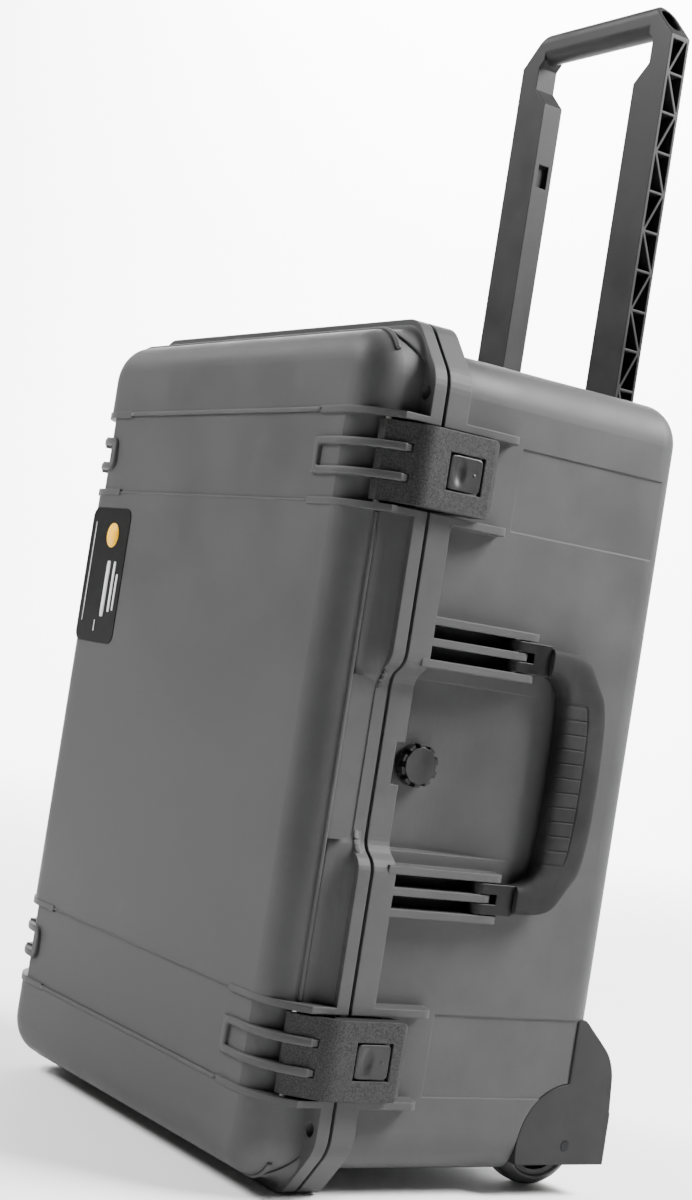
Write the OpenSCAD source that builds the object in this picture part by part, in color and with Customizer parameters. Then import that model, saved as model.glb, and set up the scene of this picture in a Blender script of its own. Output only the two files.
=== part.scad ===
// Hard equipment case on two wheels, standing on its wheel end.
// +Z is up, -Y is the lid side, +Y is the back with the pull handle,
// +X is the latch side and -X is the hinge side. Units are millimetres.
// Design coordinates have y = 0 on the parting plane; place() moves them
// so that the origin is the middle of the bounding box, on the floor.

/* [Case] */
// Length of the case over its flanges
case_len = 538; // [534:1:542]
// Width over the flanges
flange_w = 380; // [378:1:382]
// Width of the moulded shells
shell_w = 354; // [352:1:355]
// Length of the moulded shells at the parting plane
shell_len = 510; // [508:1:512]
// Depth of the lid, parting plane to face
lid_depth = 47.5; // [46:0.5:50]
// Depth of the base, parting plane to back
base_depth = 204; // [203:1:205]
// Wall thickness of both shells
wall = 4.5; // [3.5:0.5:5]
// Gap between the two flanges
part_gap = 2.4; // [2:0.2:3]

/* [Flange] */
// Depth of the base flange
base_lip = 17.5; // [16:0.5:18]
// Depth of the lid flange at its outer edge
lid_lip = 10; // [9:0.5:11]
// Radius of the padlock holes
padlock_r = 4.5; // [4:0.25:5]

/* [Latches and hinges] */
// Distance of latch and hinge centres from mid height
bay_z = 178; // [177:0.5:179]
// Height of a latch
latch_h = 48.5; // [47:0.5:49]
// Travel of a latch button
button_travel = 3; // [2:0.5:3]

/* [Grip handle] */
// Distance of the mounting ribs' middle from the handle's centre
mount_z = 76; // [75.5:0.5:76.5]
// Thickness of a grip
grip_t = 16; // [15:0.5:16]

/* [Pull handle] */
// Half width of the pull handle
pull_hw = 85; // [84:0.5:86]
// Height of the pull handle when it is drawn out
pull_top = 818; // [815:1:820]
// Stroke of the pull handle
pull_stroke = 276; // [270:1:280]
// Sideways offset of the pull handle
pull_x = 4; // [0:1:5]

/* [Wheels] */
// Wheel radius
wheel_r = 34.5; // [34:0.5:35]
// Wheel width
wheel_w = 25; // [24:1:26]

/* [Hidden] */
$fn = 48;
eps = 0.01;
big = 1200;

zc = case_len / 2;          // mid height of the case
hf = flange_w / 2;          // half width over the flanges
hx = shell_w / 2;           // half width of the shells
hz = shell_len / 2;         // half length of the shells
gap = part_gap / 2;
back_y = 228.5;             // rearmost plane, the track lips
mid_y = (back_y - lid_depth - 1.1) / 2;
corner_r = 28;              // shell corners, seen along Y
back_r = 20;                // base back edges
face_r = 22;                // lid face edges
lid_extra = 4;              // the lid's dome is longer than the base at each end
loop_end = 191.4;           // tips of the latch side's loop ribs
bore_r = 8.05;              // valve bore
screw_r = 2.1;              // screw bores
bay_d = 7;                  // depth of the bays in the lid's sides
band_d = 0.8;               // depth of the bands over the lid's face
rim_t = 4;                  // flange plate thickness

bay_half = latch_h / 2 + 1.7;   // half height of a latch or hinge bay
plate_t = 4.2;                  // side plates of the bays
loop_z = 9;                     // loop ribs from the bay's centre
loop_t = 4.2;
latch_pin = [178, -31];         // latch pivot in XY
latch_out = 198.5;              // latch's outer face
latch_t = 4.5;
latch_end = 43;                 // tip of a latch along Y
slot_r = 17.9;                  // slots for the loop ribs, about the pin
pin_r = 2;
run = 0.05;                     // running clearance on a radius
hinge_pin = [-193, 0];         // hinge pivot in XY
knuckle_r = 5.5;
button_y = 16.3;                // button's centre along Y
button_w = 25.4;
button_h = 22.4;

recess_half = 60.3;             // handle recess in the flange
recess_in = 52.5;
recess_x = 12.4;
scoop_d = 11;                   // finger scoop depth
scoop_y0 = 40;
scoop_y1 = 116;
rib_t = 5;
rib_step = 13;                  // mounting rib spacing
pocket_in = 9;              // depth of the pockets between the ribs
pivot = [184.5, 85];            // grip handle pivot in XY
fork_r = 6;

wheel_y = 194;
wheel_x = 139;
well_r = 41.2;                  // wheel well in the base
drum_r = 40.7;                  // wheel housing's drum
well_x = 119;
house_back = 228.5;
house_floor = 22;
axle_r = 3.2;

leg_y0 = 209.5;                 // pull handle legs
leg_t = 17;
leg_w = 34;
leg_bottom = 420;
step_z = 762;
step_w = 14;
truss_pitch = 28;
truss_top = 766;
track_top = 517;
track_bottom = 135;
valve_y = 33;

// ---------- frame ----------
module place() translate([0, -mid_y, 0]) children();
// upper and lower copies at the bay height
module mirrored(s) mirror([s < 0 ? 1 : 0, 0, 0]) children();
module both_bays() for (sz = [-1, 1]) translate([0, 0, zc + sz * bay_z]) children();

// ---------- outlines ----------
// arc points about c, from angle a0 to a1
function arc(c, r, a0, a1, n) =
    [for (i = [0 : n]) let (a = a0 + (a1 - a0) * i / n) [c[0] + r * cos(a), c[1] + r * sin(a)]];
// flange outline in XZ, inset by d, without bays
function flange_pts(d) = [
    [hf - d, zc - 234 + d / 2], [hf - d, zc - recess_half], [hf - recess_x - d, zc - recess_in],
    [hf - recess_x - d, zc + recess_in], [hf - d, zc + recess_half], [hf - d, zc + 234 - d / 2],
    [hf - 29 - d / 2, case_len - d], [-hf + 29 + d / 2, case_len - d],
    [-hf + d, zc + 234 - d / 2], [-hf + d, zc - 234 + d / 2],
    [-hf + 29 + d / 2, d], [hf - 29 - d / 2, d]];
// finger scoop depth at a distance y from the parting plane
function scoop(y) = y < scoop_y0 ? scoop_d
    : y > scoop_y1 ? 0 : scoop_d * (1 + cos(180 * (y - scoop_y0) / (scoop_y1 - scoop_y0))) / 2;

function unit(v) = v / norm(v);
// softens each corner i of an outline with a quadratic curve that starts r[i] before it
function soft(pts, r, n = 5) = [for (i = [0 : len(pts) - 1]) let (
    p = pts[i], a = pts[(i + len(pts) - 1) % len(pts)], b = pts[(i + 1) % len(pts)],
    d = min(r[i % len(r)], norm(a - p) / 2.02, norm(b - p) / 2.02),
    p0 = p + unit(a - p) * d, p1 = p + unit(b - p) * d)
    each [for (k = [0 : n]) let (t = k / n) (1 - t) * (1 - t) * p0 + 2 * t * (1 - t) * p + t * t * p1]];
function flange_line(d) = soft(flange_pts(d), [9, 12, 12, 12, 12, 9, 9, 9, 9, 9, 9, 9]);

// plate along XZ between two depths y0 and y1
module slab(pts, y0, y1) translate([0, y1, 0]) rotate([90, 0, 0]) linear_extrude(y1 - y0) polygon(pts);
// plate along XY, centred on z
module leaf(pts, z, t) translate([0, 0, z - t / 2]) linear_extrude(t) polygon(pts);
// plate along YZ between x0 and x1
module side(pts, x0, x1) translate([x0, 0, 0]) rotate([90, 0, 90]) linear_extrude(x1 - x0) polygon(pts);
// rounded rectangle ring or plate in XZ with exact arcs
module rrect(w, h, r) {
    square([w - 2 * r, h], center = true);
    square([w, h - 2 * r], center = true);
    for (sx = [-1, 1], sz = [-1, 1]) translate([sx * (w / 2 - r), sz * (h / 2 - r)]) circle(r);
}
module rplate(w, h, r, y0, y1) translate([0, y1, zc]) rotate([90, 0, 0])
    linear_extrude(y1 - y0) rrect(w, h, r);

// ---------- shells ----------
// 2D outline from y = 0 to d, half width hw, far corners rounded by r
module prof(hw, r, d) {
    translate([-hw, 0]) square([2 * hw, d - r]);
    translate([-hw + r, 0]) square([2 * (hw - r), d]);
    intersection() {
        for (s = [-1, 1]) translate([s * (hw - r), d - r]) circle(r);
        translate([-hw, 0]) square([2 * hw, d]);
    }
}
// half of that outline, for a turned corner
module half_prof(hw, r, d) {
    square([hw, d - r]);
    square([hw - r, d]);
    intersection() {
        translate([hw - r, d - r]) circle(r);
        square([hw, d]);
    }
}
// open-ended box from y = 0 to d: corners R seen along Y, far edges r
module rbox(hw, hh, R, r, d) {
    translate([0, 0, zc - hh + R]) linear_extrude(2 * (hh - R)) prof(hw, r, d);
    translate([-hw + R, 0, zc]) rotate([90, 0, 90]) linear_extrude(2 * (hw - R)) rotate(-90) prof(hh, r, d);
    for (sx = [-1, 1], sz = [-1, 1]) translate([sx * (hw - R), 0, zc + sz * (hh - R)])
        rotate([-90, 0, 0]) rotate_extrude($fn = 64) half_prof(R, r, d);
}
// base tub and lid dome, inset by d on every side
module tub(d) rbox(hx - d, hz - d, corner_r - d, back_r - d, base_depth - d);
module dome(d) mirror([0, 1, 0]) rbox(hx - d, hz + lid_extra - d, corner_r - d, face_r - d, lid_depth - d);
// the dome's outline in XY with a bay on each side, inset by d
module bay_prof(d) mirror([0, 1, 0]) prof(hx - bay_d - d, face_r - d, lid_depth - d);

// mounting rib of a grip handle, tip rounded, in XY
function rib_pts(y1) = concat([[hx - 6, 12], [hf, 12]],
    arc([hf - 7, y1 - 7], 7, 0, 90, 6), [[hx + 2, y1], [hx - 6, y1 + 4]]);
module mount_ribs() for (sz = [-1, 1]) {
    for (k = [-1, 1]) leaf(rib_pts(101), sz * (mount_z + k * rib_step), rib_t);
    leaf(rib_pts(94), sz * mount_z, rib_t);
}
// bores for the grip handle's pins, blind at the outer ribs
module mount_bores() for (sz = [-1, 1])
    translate([pivot[0], pivot[1], sz * mount_z - 15]) cylinder(r = pin_r, h = 30, $fn = 32);
module on_side() translate([0, 0, zc]) children();

// scoop's floor line from the far end to the flange, sunk by t
function scoop_curve(t) = [for (i = [20 : -1 : 0])
    let (y = scoop_y0 - 6 + (scoop_y1 - scoop_y0 + 6) * i / 20) [hx - t - scoop(y), y],
    [hx - t - scoop_d, gap]];
// cutter for the scoop, over its height
module scoop_form() translate([0, 0, zc - recess_in]) linear_extrude(2 * recess_in)
    polygon(concat([[hx + 8, base_lip], [hx + 8, scoop_y1 + 1], [hx, scoop_y1 + 1]],
        [for (p = scoop_curve(0)) if (p[1] > base_lip) p], [[hx - scoop_d, base_lip]]));

module base_shell() color("dimgray") place() difference() {
    union() {
        difference() {
            tub(0);
            tub(wall);
            rplate(shell_w + 10, shell_len + 10, 1, -1, gap);
        }
        // flange plate and skirt
        difference() {
            slab(flange_line(0), gap, base_lip);
            slab(flange_line(3.2), gap + rim_t, base_lip + 1);
        }
        // scoop's inner skin
        translate([0, 0, zc - recess_in - wall]) linear_extrude(2 * (recess_in + wall))
            polygon(concat([[hx - 0.5, gap]], [[hx - 0.5, scoop_y1]], scoop_curve(wall)));
        // wheel wells' skins
        intersection() {
            tub(0.5);
            for (sx = [-1, 1]) mirrored(sx) drum(well_r + wall, well_x - wall, hx + 3);
        }
        on_side() mount_ribs();
        on_side() for (sz = [-1, 1])
            translate([hx - pocket_in - 3, gap + rim_t, sz * mount_z - rib_step - rib_t / 2])
                cube([pocket_in + 2.5, 88, 2 * rib_step + rib_t]);
        // ribs beside each latch
        both_bays() for (k = [-1, 1]) leaf(rib_pts(62), k * (bay_half + rib_t / 2), rib_t);
        // keeper under each latch
        both_bays() translate([hx - 2, gap + 1, -18]) cube([7.5, 7, 36]);
        // hinge knuckles
        both_bays() hinge_knuckles(base_knuckles, 1);
    }
    // the tub's cavity, past the flange
    tub_cavity();
    // bays in the flange
    both_bays() bay_cut(base_lip + 1);
    both_bays() mirror([1, 0, 0]) hinge_bay_cut();
    // scoop under the front handle, with its outer skin removed
    scoop_form();
    // notch for the valve in the skirt
    translate([hx - scoop_d, 11.5, zc - 13]) cube([20, 8, 26]);
    // wheel wells
    for (sx = [-1, 1]) mirrored(sx) drum(well_r, well_x, hx + 20);
    // pockets between the mounting ribs
    on_side() for (sz = [-1, 1], k = [-1, 1])
        translate([hx - pocket_in, base_lip + 1, sz * mount_z + k * rib_step / 2 - (rib_step - rib_t) / 2])
            cube([30, 70, rib_step - rib_t]);
    // bores
    on_side() mount_bores();
    for (s = [-1, 1], z = screw_z()) translate([pull_x + s * (pull_hw - leg_w / 2), base_depth - 3.2, z])
        rotate([-90, 0, 0]) cylinder(r = screw_r, h = 5, $fn = 24);
    padlock_bores();
    hinge_bores(pin_r + run);
    translate([hx - 25, valve_y, zc]) rotate([0, 90, 0]) cylinder(r = bore_r, h = 25);
    // shallow steps behind the latches
    both_bays() translate([hx - 0.8, 72, -bay_half]) cube([5, base_depth, 2 * bay_half]);
}
// clears the inside where ribs and plates would reach into it
module tub_cavity() rplate(shell_w - 2 * wall - 2 * scoop_d - 2, shell_len - 2 * wall - 1,
    corner_r - wall, -1, gap + rim_t + 3);
module bay_cut(y1) translate([hx + 0.5, -60, -bay_half]) cube([40, 60 + y1, 2 * bay_half]);
module hinge_bay_cut() difference() {
    translate([hx + 0.5, -60, -bay_half]) cube([40, 60 + base_lip + 1, 2 * bay_half]);
    mirror([1, 0, 0]) hinge_knuckles(base_knuckles, 1);
}
// hinge knuckles from z starts and lengths; s = 1 on the base, -1 on the lid
module hinge_knuckles(list, s) for (k = list) translate([0, 0, k[0]]) {
    translate([hinge_pin[0], hinge_pin[1], 0]) cylinder(r = knuckle_r, h = k[1]);
    linear_extrude(k[1]) polygon([[hinge_pin[0] - knuckle_r * 0.92, s * 2.2],
        [hinge_pin[0] + 1, s * knuckle_r * 0.9], [-hx + 3, s * 42], [-hx + 8, s * 40], [-hx + 8, s * 6],
        [hinge_pin[0], s * -knuckle_r * 0.3]]);
}
module hinge_bores(r) both_bays() translate([hinge_pin[0], hinge_pin[1], -23])
    cylinder(r = r, h = 46, $fn = 32);
module padlock_bores() for (sz = [-1, 1]) translate([hf - 8.5, -40, zc + sz * 223])
    rotate([-90, 0, 0]) cylinder(r = padlock_r, h = 80, $fn = 32);

// lid rib outline in XY: an arc from the face to the flange
function loop_pts(r, cx, cy, x1, y2, x0) = concat([[x0, cy - r + 6], [x0, cy - r]],
    arc([cx, cy], r, -90, -acos((x1 - cx) / r), 14), [[x1, y2], [hx - 12, y2], [cx, cy - r + 12]]);
function plate_pts() = loop_pts(48.4, 150, 0.2, hf, -gap, 127);
function latch_loop() = loop_pts(50.6, 150, 2, loop_end, -20, 127);
base_knuckles = [[-24.5, 11], [-4.6, 9.2], [13.5, 11]];
lid_knuckles = [[-13, 8], [5, 8]];

module lid_shell() color("dimgray") place() difference() {
    union() {
        difference() {
            dome(0);
            rplate(shell_w + 10, shell_len + 20, 1, -gap, 1);
            // shallow bands over the whole face at latch height
            both_bays() lid_band(bay_half + plate_t / 2)
                mirror([0, 1, 0]) prof(hx - band_d, face_r - band_d, lid_depth - band_d);
            // bays on both sides, down to a narrower outline
            both_bays() lid_band(bay_half) bay_prof(0);
        }
        slab(flange_line(0), -lid_lip, -gap);
        // side plates of the bays and loop ribs, on the latch side
        both_bays() {
            for (k = [-1, 1]) leaf(plate_pts(), k * (bay_half + plate_t / 2), plate_t);
            for (k = [-1, 1]) leaf(latch_loop(), k * loop_z, loop_t);
            translate([127, -lid_depth - 1.1, -loop_z]) cube([3.4, 6, 2 * loop_z]);
        }
        // the same on the hinge side, ending in knuckles
        mirror([1, 0, 0]) both_bays() {
            for (k = [-1, 1]) leaf(plate_pts(), k * (bay_half + plate_t / 2), plate_t);
            for (k = [-1, 1]) leaf(loop_pts(50.6, 150, 2, 185, -12, 147), k * loop_z, loop_t);
            translate([147, -lid_depth - 1.1, -loop_z]) cube([3.4, 6, 2 * loop_z]);
        }
        both_bays() hinge_knuckles(lid_knuckles, -1);
        // rear stiffening ribs
        for (sz = [-1, 1]) mirror([1, 0, 0])
            leaf(loop_pts(42.5, 142, -4.5, 183, -8, 119), zc + sz * 48, 4);
    }
    lid_inside();
    lid_bay_cuts();
    // gasket groove
    gasket_ring(0.15, -gap - 2.9, 1);
    padlock_bores();
    hinge_bores(pin_r);
    both_bays() translate([latch_pin[0], latch_pin[1], -bay_half - plate_t + 0.6])
        cylinder(r = pin_r, h = 2 * (bay_half + plate_t) - 1.2, $fn = 32);
    // seat for the label
    label_block(0.2, 0.6);
}
// what lies outside a narrower outline below the rim, half as tall as h
module lid_band(h) translate([0, 0, -h]) linear_extrude(2 * h) difference() {
    translate([-big / 2, -60]) square([big, 60 - gap - rim_t]);
    children();
}
// the hollow of the lid: the mouth first, wider behind it, and narrower behind the bays
module lid_inside() difference() {
    union() {
        rplate(shell_w - 2 * wall, shell_len - 2 * wall - 1, corner_r - wall, -gap - rim_t - 3, 1);
        intersection() {
            dome(wall);
            translate([-big / 2, -60, 0]) cube([big, 60 - gap - rim_t - 3, big]);
        }
    }
    both_bays() translate([0, 0, -bay_half - 2]) linear_extrude(2 * bay_half + 4) difference() {
        translate([-big / 2, -60]) square([big, 70]);
        bay_prof(wall);
    }
}
// the flange is open at the bays
module lid_bay_cuts() {
    both_bays() difference() {
        translate([hx + 0.5, -lid_lip - 1, -bay_half]) cube([40, lid_lip + 5, 2 * bay_half]);
        for (k = [-1, 1]) leaf(latch_loop(), k * loop_z, loop_t);
    }
    both_bays() difference() {
        translate([-hx - 40.5, -lid_lip - 1, -bay_half]) cube([40, lid_lip + 5, 2 * bay_half]);
        hinge_knuckles(lid_knuckles, -1);
    }
}
module gasket_ring(c, y0, y1) difference() {
    rplate(shell_w - 1.4 + 2 * c, shell_len - 1.4 + 2 * c, corner_r - 0.7, y0, y1);
    rplate(shell_w - 7 - 2 * c, shell_len - 7 - 2 * c, corner_r - 3.5, y0 - 1, y1 + 1);
}
module lid_gasket() color("black") place() gasket_ring(0, -gap - 2.8, gap - 0.3);

label_w = 59;
label_h = 96;
module label_block(c, deep) translate([-133.5, -lid_depth - 0.4, 359]) rotate([-90, 0, 0])
    linear_extrude(0.4 + deep) rrect(label_w + 2 * c, label_h + 2 * c, 7);
module label_plate() color([0.07, 0.07, 0.07]) place() label_block(0, 0.5);

module hinge_pin_at(s) color("silver") place()
    translate([hinge_pin[0], hinge_pin[1], zc + s * bay_z - 22.5]) cylinder(r = pin_r, h = 45, $fn = 32);
module hinge_pin_upper() hinge_pin_at(1);
module hinge_pin_lower() hinge_pin_at(-1);
module latch_pin_at(s) color("silver") place()
    translate([latch_pin[0], latch_pin[1], zc + s * bay_z - bay_half - plate_t + 0.8])
        cylinder(r = pin_r, h = 2 * (bay_half + plate_t) - 1.6, $fn = 32);
module latch_pin_upper() latch_pin_at(1);
module latch_pin_lower() latch_pin_at(-1);

// ---------- latches ----------
// latch profile in XY, outer line then inner line
latch_bend = 14;                // outer radius of the latch's shoulder
function latch_pts() = concat(
    arc(latch_pin, 5, 100, 240, 8), [[latch_pin[0] + 3.5, latch_pin[1] - 3.6]],
    arc([latch_out - latch_bend, -8], latch_bend, -50, 0, 8),
    arc([latch_out - 7, latch_end - 8.5], 7, 8, 62, 6),
    [[latch_out - 6.5, latch_end], [185, latch_end - 0.5], [185, latch_end - 4],
    [latch_out - latch_t - 1, latch_end - 5.5], [latch_out - latch_t, latch_end - 9.5]],
    arc([latch_out - latch_bend, -8], latch_bend - latch_t, 0, -50, 6),
    [[latch_pin[0] + 3.5, latch_pin[1] + 4]]);
function latch_fill_pts() = [[185, latch_end - 0.5], [185, 6], [188, -8], [latch_out - latch_t - 2, -12],
    [latch_out - 1.5, -12], [latch_out - 1, -2], [latch_out - 1, latch_end - 9],
    [latch_out - 6.5, latch_end - 0.5]];
// latch outline in YZ with a bowed far end
function latch_plan() = let (h = latch_h / 2) concat([[-45, h], [-45, -h], [latch_end - 8, -h]],
    [for (i = [-6 : 6]) [latch_end - 3.2 * pow(i / 6, 2), i / 6 * (h - 2.2)]], [[latch_end - 8, h]]);
module latch_at(s) color([0.13, 0.13, 0.13]) place() translate([0, 0, zc + s * bay_z]) difference() {
    intersection() {
        union() {
            leaf(latch_pts(), 0, latch_h);
            for (k = [-1, 1]) leaf(latch_fill_pts(), k * (latch_h / 2 - 1.5), 3);
            // spring seat
            for (k = [-1, 1]) translate([183, button_y - 5, k * (latch_h / 2 - 1.5) - 1.5]) cube([6, 12, 3]);
        }
        side(latch_plan(), 160, 210);
    }
    // slots for the loop ribs
    for (k = [-1, 1]) translate([latch_pin[0], latch_pin[1], k * loop_z - loop_t / 2 - 0.6])
        cylinder(r = slot_r, h = loop_t + 1.2);
    // pin bore
    translate([latch_pin[0], latch_pin[1], -40]) cylinder(r = pin_r + run, h = 80, $fn = 32);
    // button window
    translate([180, button_y - button_w / 2 - 0.4, -button_h / 2 - 0.4])
        cube([30, button_w + 0.8, button_h + 0.8]);
}
module latch_seat(s) place() translate([183, button_y - 5, zc + s * bay_z - latch_h / 2 + 0.5])
    cube([1.6, 12, latch_h - 1]);
module latch_body_upper() color([0.13, 0.13, 0.13]) { latch_at(1); latch_seat(1); }
module latch_body_lower() color([0.13, 0.13, 0.13]) { latch_at(-1); latch_seat(-1); }

module button_at(s) color([0.2, 0.2, 0.2]) place() translate([0, button_y, zc + s * bay_z]) difference() {
    union() {
        translate([189.6, -button_w / 2, -button_h / 2]) cube([8, button_w, button_h]);
        translate([189.6, -button_w / 2 - 0.3, -button_h / 2 - 2]) cube([1.8, button_w + 0.6, button_h + 4]);
    }
    // thumb dimple
    translate([210, -4, 0]) rotate([90, 0, 0]) cylinder(r = 13.6, h = 5, center = true);
}
module latch_button_upper() button_at(1);
module latch_button_lower() button_at(-1);
coil_r = 4.2;
coil_step = 1.7;
// flat coil under the button, drawn as stacked rings with two posts
module spring_at(s) color("silver") place() translate([184.7, button_y, zc + s * bay_z]) rotate([0, 90, 0]) {
    for (i = [0 : 2]) translate([0, 0, 0.45 + coil_step * i])
        rotate_extrude($fn = 40) translate([coil_r, 0]) circle(0.4, $fn = 16);
    for (i = [0 : 1]) rotate([0, 0, 180 * i]) translate([coil_r, 0, 0.45 + coil_step * i])
        cylinder(r = 0.35, h = coil_step, $fn = 16);
}
module button_spring_upper() spring_at(1);
module button_spring_lower() spring_at(-1);

// ---------- grip handles ----------
// outline of the padded grip in YZ about its centre
function grip_out() = [[109, 84.5], [129, 84], [140, 80.5], [149, 69], [163, 50]];
function grip_in() = [[126, 50], [121, 60], [114, 65.5], [109, 66.2]];
function grip_pts() = concat(grip_out(), [for (i = [4 : -1 : 0]) [grip_out()[i][0], -grip_out()[i][1]]],
    [for (i = [3 : -1 : 0]) [grip_in()[i][0], -grip_in()[i][1]]], grip_in());
grip_x0 = 178;
module grip_form() difference() {
    side(grip_pts(), grip_x0, grip_x0 + grip_t);
    // channel that the core fills
    grip_channel(0);
}
// core bar inside the grip, 3.5 mm under its skin
module grip_channel(c) intersection() {
    side([[100, 78 - c], [130, 78 - c], [140, 74 - c], [156 - c, 50], [156 - c, -50], [140, -74 + c],
        [130, -78 + c], [100, -78 + c], [100, -72 - c], [118, -72 - c], [133 + c, -48], [133 + c, 48],
        [118, 72 + c], [100, 72 + c]],
        grip_x0 + 4 + c, grip_x0 + grip_t - 4 - c);
    translate([grip_x0 - 5, 90, -100]) cube([30, 100, 200]);
}
module handle_core_form() {
    difference() {
        union() {
            grip_channel(0.1);
            for (sz = [-1, 1]) {
                translate([pivot[0], pivot[1], sz * mount_z - 9.6]) cylinder(r = fork_r, h = 19.2);
                translate([pivot[0] - fork_r, pivot[1], sz * mount_z - 9.6]) cube([2 * fork_r, 23.7, 19.2]);
            }
        }
        // slot over the middle rib
        for (sz = [-1, 1]) {
            translate([pivot[0], pivot[1], sz * mount_z - rib_t / 2 - 0.7]) cylinder(r = 12, h = rib_t + 1.4);
            translate([pivot[0], pivot[1], sz * mount_z - 20]) cylinder(r = pin_r + run, h = 40, $fn = 32);
        }
    }
}
module handle_pins_form() for (sz = [-1, 1])
    translate([pivot[0], pivot[1], sz * mount_z - 14.8]) cylinder(r = pin_r, h = 29.6, $fn = 32);
module front_handle_core() color([0.15, 0.15, 0.15]) place() on_side() handle_core_form();
module front_handle_grip() color([0.1, 0.1, 0.1]) place() on_side() grip_form();
module handle_pins() color("silver") place() on_side() handle_pins_form();

// ---------- pull handle ----------
web_t = 1.8;
catch_z = 708;                  // upper catch window with the handle drawn out
rim = 2.2;
pocket_d = 22;
cells = floor((truss_top - leg_bottom) / truss_pitch);
leg_in = pull_hw - leg_w;       // inner side of a leg
// the grip's own outline, long along X
module pull_bar(x0, x1, l, w) translate([x0, leg_y0 + leg_t / 2, pull_top - 11.5]) rotate([0, 90, 0])
    linear_extrude(x1 - x0) stadium(l, w);
module leg() difference() {
    union() {
        translate([leg_in, leg_y0, leg_bottom]) cube([leg_w, leg_t, step_z - leg_bottom]);
        intersection() {
            translate([0, leg_y0, 0]) side_xz([[leg_in, step_z - eps], [leg_in + step_w, step_z + step_w - 1],
                [leg_in + step_w, pull_top - 26], [leg_in + step_w - 5, pull_top - 21],
                [leg_in + step_w - 5, pull_top], [pull_hw - 25, pull_top], [pull_hw, pull_top - 25],
                [pull_hw, step_z - eps]], leg_t);
            // rounded over like the grip
            union() {
                translate([0, leg_y0, 0]) cube([pull_hw + 1, leg_t, pull_top - 11.5]);
                pull_bar(0, pull_hw + 1, 23, leg_t);
            }
        }
    }
    // open truss side
    difference() {
        translate([pull_hw - pocket_d, leg_y0 + rim, leg_bottom + 3])
            cube([pocket_d + 1, leg_t - 2 * rim, pull_top - 31 - leg_bottom]);
        translate([pull_hw - step_w - 9, leg_y0, step_z - 6]) cube([9, leg_t, 70]);
        for (i = [0 : cells]) {
            translate([0, leg_y0, truss_top - i * truss_pitch - web_t / 2]) cube([pull_hw, leg_t, web_t]);
            translate([0, leg_y0 + leg_t / 2, truss_top - (i - 0.5) * truss_pitch])
                rotate([(i % 2 == 0 ? -1 : 1) * atan((leg_t - 2 * rim) / truss_pitch), 0, 0])
                    translate([0, -web_t / 2, -truss_pitch * 0.62])
                        cube([pull_hw, web_t, truss_pitch * 1.24]);
        }
    }
    // hollow grip, open at the corner
    pull_bar(pull_hw - 46, pull_hw + 14, 17, 11);
    // catch windows on the inner side
    for (z = [catch_z, catch_z - pull_stroke]) translate([leg_in - 1, leg_y0 + leg_t / 2 - 4.5, z - 8.5])
        cube([5, 9, 17]);
}
module side_xz(pts, t) translate([0, t, 0]) rotate([90, 0, 0]) linear_extrude(t) polygon(pts);
// oblong, long along its own X
module stadium(l, w) {
    square([l - w, w], center = true);
    for (s = [-1, 1]) translate([s * (l - w) / 2, 0]) circle(w / 2);
}
module pull_handle() color([0.3, 0.3, 0.3]) place() translate([pull_x, 0, 0]) {
    difference() {
        pull_bar(12 - pull_hw, pull_hw - 12, 23, leg_t);
        for (s = [-1, 1]) mirrored(s) {
            pull_bar(pull_hw - 46, pull_hw + 14, 17, 11);
            translate([pull_hw - 25, 0, pull_top]) rotate([0, 45, 0]) cube([60, big, 40]);
        }
    }
    leg();
    mirror([1, 0, 0]) leg();
}

// ---------- tracks ----------
module track(s) color([0.12, 0.12, 0.12]) place() translate([pull_x, 0, 0]) mirrored(s) difference() {
    translate([pull_hw - leg_w - 4, base_depth + 0.2, track_bottom])
        cube([leg_w + 8, back_y - base_depth - 0.2, track_top - track_bottom]);
    translate([pull_hw - leg_w - 0.6, leg_y0 - 0.5, track_bottom + 5]) cube([leg_w + 1.2, leg_t + 1, big]);
    translate([pull_hw - leg_w + 5, leg_y0, track_bottom + 12]) cube([leg_w - 10, leg_t + 20, big]);
    for (z = screw_z()) translate([pull_hw - leg_w / 2, leg_y0 - 0.4, z]) rotate([90, 0, 0]) {
        cylinder(r = 4.2, h = 2.2);
        cylinder(r = screw_r, h = 10, $fn = 24);
    }
    // window for the catch
    translate([pull_hw - leg_w - 6, leg_y0 + leg_t / 2 - 4.3, catch_z - pull_stroke - 8.3])
        cube([8, 8.6, 16.6]);
}
function screw_z() = [track_bottom + 30, track_bottom + 190, track_top - 40];
module handle_track_left() track(-1);
module handle_track_right() track(1);
module track_screws() color("silver") place() translate([pull_x, 0, 0]) for (s = [-1, 1], z = screw_z())
    translate([s * (pull_hw - leg_w / 2), leg_y0 - 0.9, z]) rotate([90, 0, 0]) {
        cylinder(r = 4, h = 1.6);
        cylinder(r = 1.9, h = 7.5, $fn = 24);
    }
module handle_catches() color([0.1, 0.1, 0.1]) place() translate([pull_x, 0, 0]) for (s = [-1, 1])
    mirrored(s) translate([pull_hw - leg_w - 6.4, leg_y0 + leg_t / 2 - 4, catch_z - pull_stroke - 8])
        cube([5.8, 8, 16]);

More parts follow.
